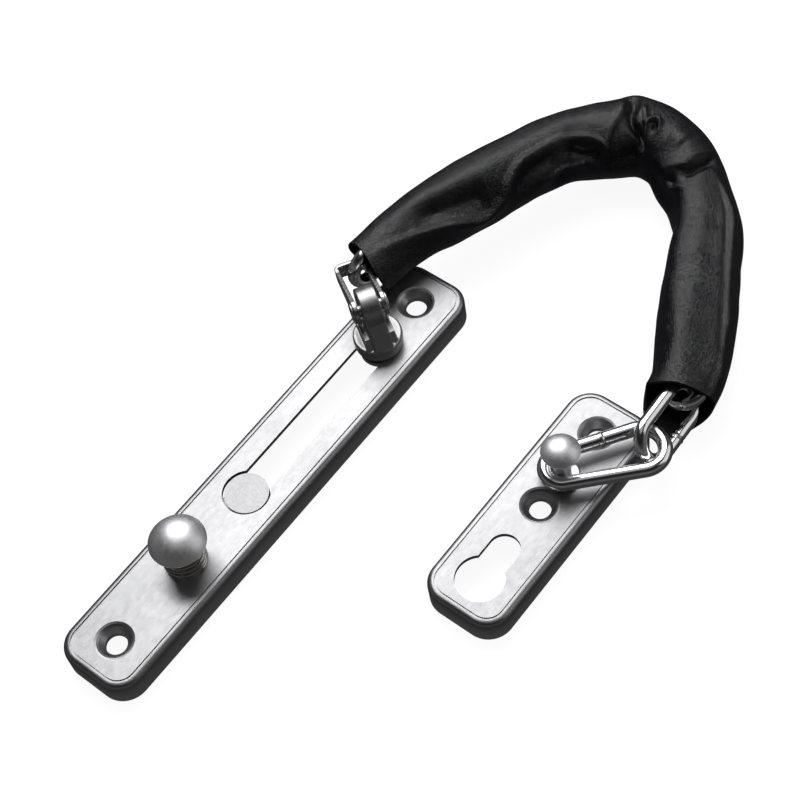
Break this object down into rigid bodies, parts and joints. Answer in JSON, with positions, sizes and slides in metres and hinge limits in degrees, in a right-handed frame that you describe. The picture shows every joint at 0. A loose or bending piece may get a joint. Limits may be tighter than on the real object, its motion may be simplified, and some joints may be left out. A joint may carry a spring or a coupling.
{
  "type": "door chain guard",
  "caption": "Door chain guard: slotted track plate with a spring-loaded release knob and swivel slider, welded chain in a leather sleeve, keeper plate with post.",
  "frame": {"origin": "centre of the track plate's two screw holes, on the plane of its back", "axes": "+Z out of the door, square to both plates; +Y along the track plate towards the end of the slot; +X from the track plate to the keeper plate"},
  "size_m": [0.0911, 0.1827, 0.0215],
  "materials": {
    "satin_plate": "satin stainless sheet, fine grain along the plate",
    "turned_steel": "satin turned stainless steel",
    "polished_steel": "polished stainless steel",
    "chain_wire": "polished welded steel wire",
    "inner_steel": "plain pressed steel, out of sight",
    "spring_wire": "drawn spring wire",
    "sleeve_leather": "black fine-grained leather with a satin gloss"
  },
  "bodies": {
    "track": {"track_plate": "satin_plate", "knob_spring": "spring_wire"},
    "knob": {"release_knob": "turned_steel", "blocker_arm": "inner_steel", "knob_retainer": "inner_steel"},
    "slider": {"slider_foot": "turned_steel", "slider_washer": "polished_steel"},
    "swivel": {"swivel_tongue": "polished_steel"},
    "bracket": {"swivel_bracket": "polished_steel", "bracket_pin": "turned_steel"},
    "link_01_body": {"link_01": "chain_wire"},
    "link_02_body": {"link_02": "chain_wire"},
    "link_03_body": {"link_03": "chain_wire"},
    "link_04_body": {"link_04": "chain_wire"},
    "link_05_body": {"link_05": "chain_wire"},
    "link_06_body": {"link_06": "chain_wire", "leather_sleeve": "sleeve_leather"},
    "link_07_body": {"link_07": "chain_wire"},
    "link_08_body": {"link_08": "chain_wire"},
    "link_09_body": {"link_09": "chain_wire"},
    "link_10_body": {"link_10": "chain_wire"},
    "link_11_body": {"link_11": "chain_wire"},
    "ring": {"post_link": "chain_wire"},
    "keeper": {"keeper_plate": "satin_plate", "keeper_post": "turned_steel", "post_collar": "turned_steel"}
  },
  "joints": [
    {"name": "knob_press", "type": "slide", "parent": "track", "child": "knob", "axis": [0, 0, -1], "range_m": [0, 0.003], "stiffness_N_per_m": 900, "springref_m": -0.002, "deforming": ["knob_spring"]},
    {"name": "slider_slide", "type": "slide", "parent": "track", "child": "slider", "axis": [0, -1, 0], "range_m": [-0.0008, 0.0363]},
    {"name": "swivel_spin", "type": "hinge", "parent": "slider", "child": "swivel", "pos_m": [0, 0.0378, 0.0082], "axis": [0, 0, 1], "range_deg": [-20, 120]},
    {"name": "bracket_tilt", "type": "hinge", "parent": "swivel", "child": "bracket", "pos_m": [-0.00254, 0.03939, 0.0165], "axis": [0.5299, 0.848, 0], "range_deg": [-2, 90]},
    {"name": "link_01_swing", "type": "hinge", "parent": "bracket", "child": "link_01_body", "pos_m": [-0.01209, 0.04535, 0.0139], "axis": [0, 0, 1], "range_deg": [-12, 110]},
    {"name": "link_02_swing", "type": "hinge", "parent": "link_01_body", "child": "link_02_body", "pos_m": [-0.01027, 0.06265, 0.01329], "axis": [0, 0, -1], "range_deg": [-50, 24]},
    {"name": "link_03_swing", "type": "hinge", "parent": "link_02_body", "child": "link_03_body", "pos_m": [-0.00526, 0.0772, 0.01276], "axis": [0, 0, 1], "range_deg": [-17, 36]},
    {"name": "link_04_swing", "type": "hinge", "parent": "link_03_body", "child": "link_04_body", "pos_m": [-0.0005, 0.09185, 0.01276], "axis": [0, 0, -1], "range_deg": [-40, 15]},
    {"name": "link_05_swing", "type": "hinge", "parent": "link_04_body", "child": "link_05_body", "pos_m": [0.005, 0.10617, 0.01141], "axis": [0, 0, 1], "range_deg": [-2, 72]},
    {"name": "link_06_swing", "type": "hinge", "parent": "link_05_body", "child": "link_06_body", "pos_m": [0.01769, 0.11473, 0.0098], "axis": [0, 0, -1], "range_deg": [-73, 1], "deforming": ["leather_sleeve"]},
    {"name": "link_07_swing", "type": "hinge", "parent": "link_06_body", "child": "link_07_body", "pos_m": [0.033, 0.1142, 0.00819], "axis": [0, 0, 1], "range_deg": [-1, 73]},
    {"name": "link_08_swing", "type": "hinge", "parent": "link_07_body", "child": "link_08_body", "pos_m": [0.04514, 0.10472, 0.00819], "axis": [0, 0, -1], "range_deg": [-65, 9]},
    {"name": "link_09_swing", "type": "hinge", "parent": "link_08_body", "child": "link_09_body", "pos_m": [0.0514, 0.09065, 0.00819], "axis": [0, 0, 1], "range_deg": [-18, 33]},
    {"name": "link_10_swing", "type": "hinge", "parent": "link_09_body", "child": "link_10_body", "pos_m": [0.05863, 0.07705, 0.00819], "axis": [0, 0, -1], "range_deg": [-41, 24]},
    {"name": "link_11_swing", "type": "hinge", "parent": "link_10_body", "child": "link_11_body", "pos_m": [0.06488, 0.063, 0.009], "axis": [0, 0, 1], "range_deg": [-16, 58]},
    {"name": "ring_swing", "type": "hinge", "parent": "link_11_body", "child": "ring", "pos_m": [0.06569, 0.04766, 0.01008], "axis": [0, 0, -1], "range_deg": [-87.9, 2.1]},
    {"name": "keeper_swing", "type": "hinge", "parent": "ring", "child": "keeper", "pos_m": [0.0536, 0.0332, 0.01008], "axis": [0, 0, 1], "range_deg": [0, 100]}
  ]
}
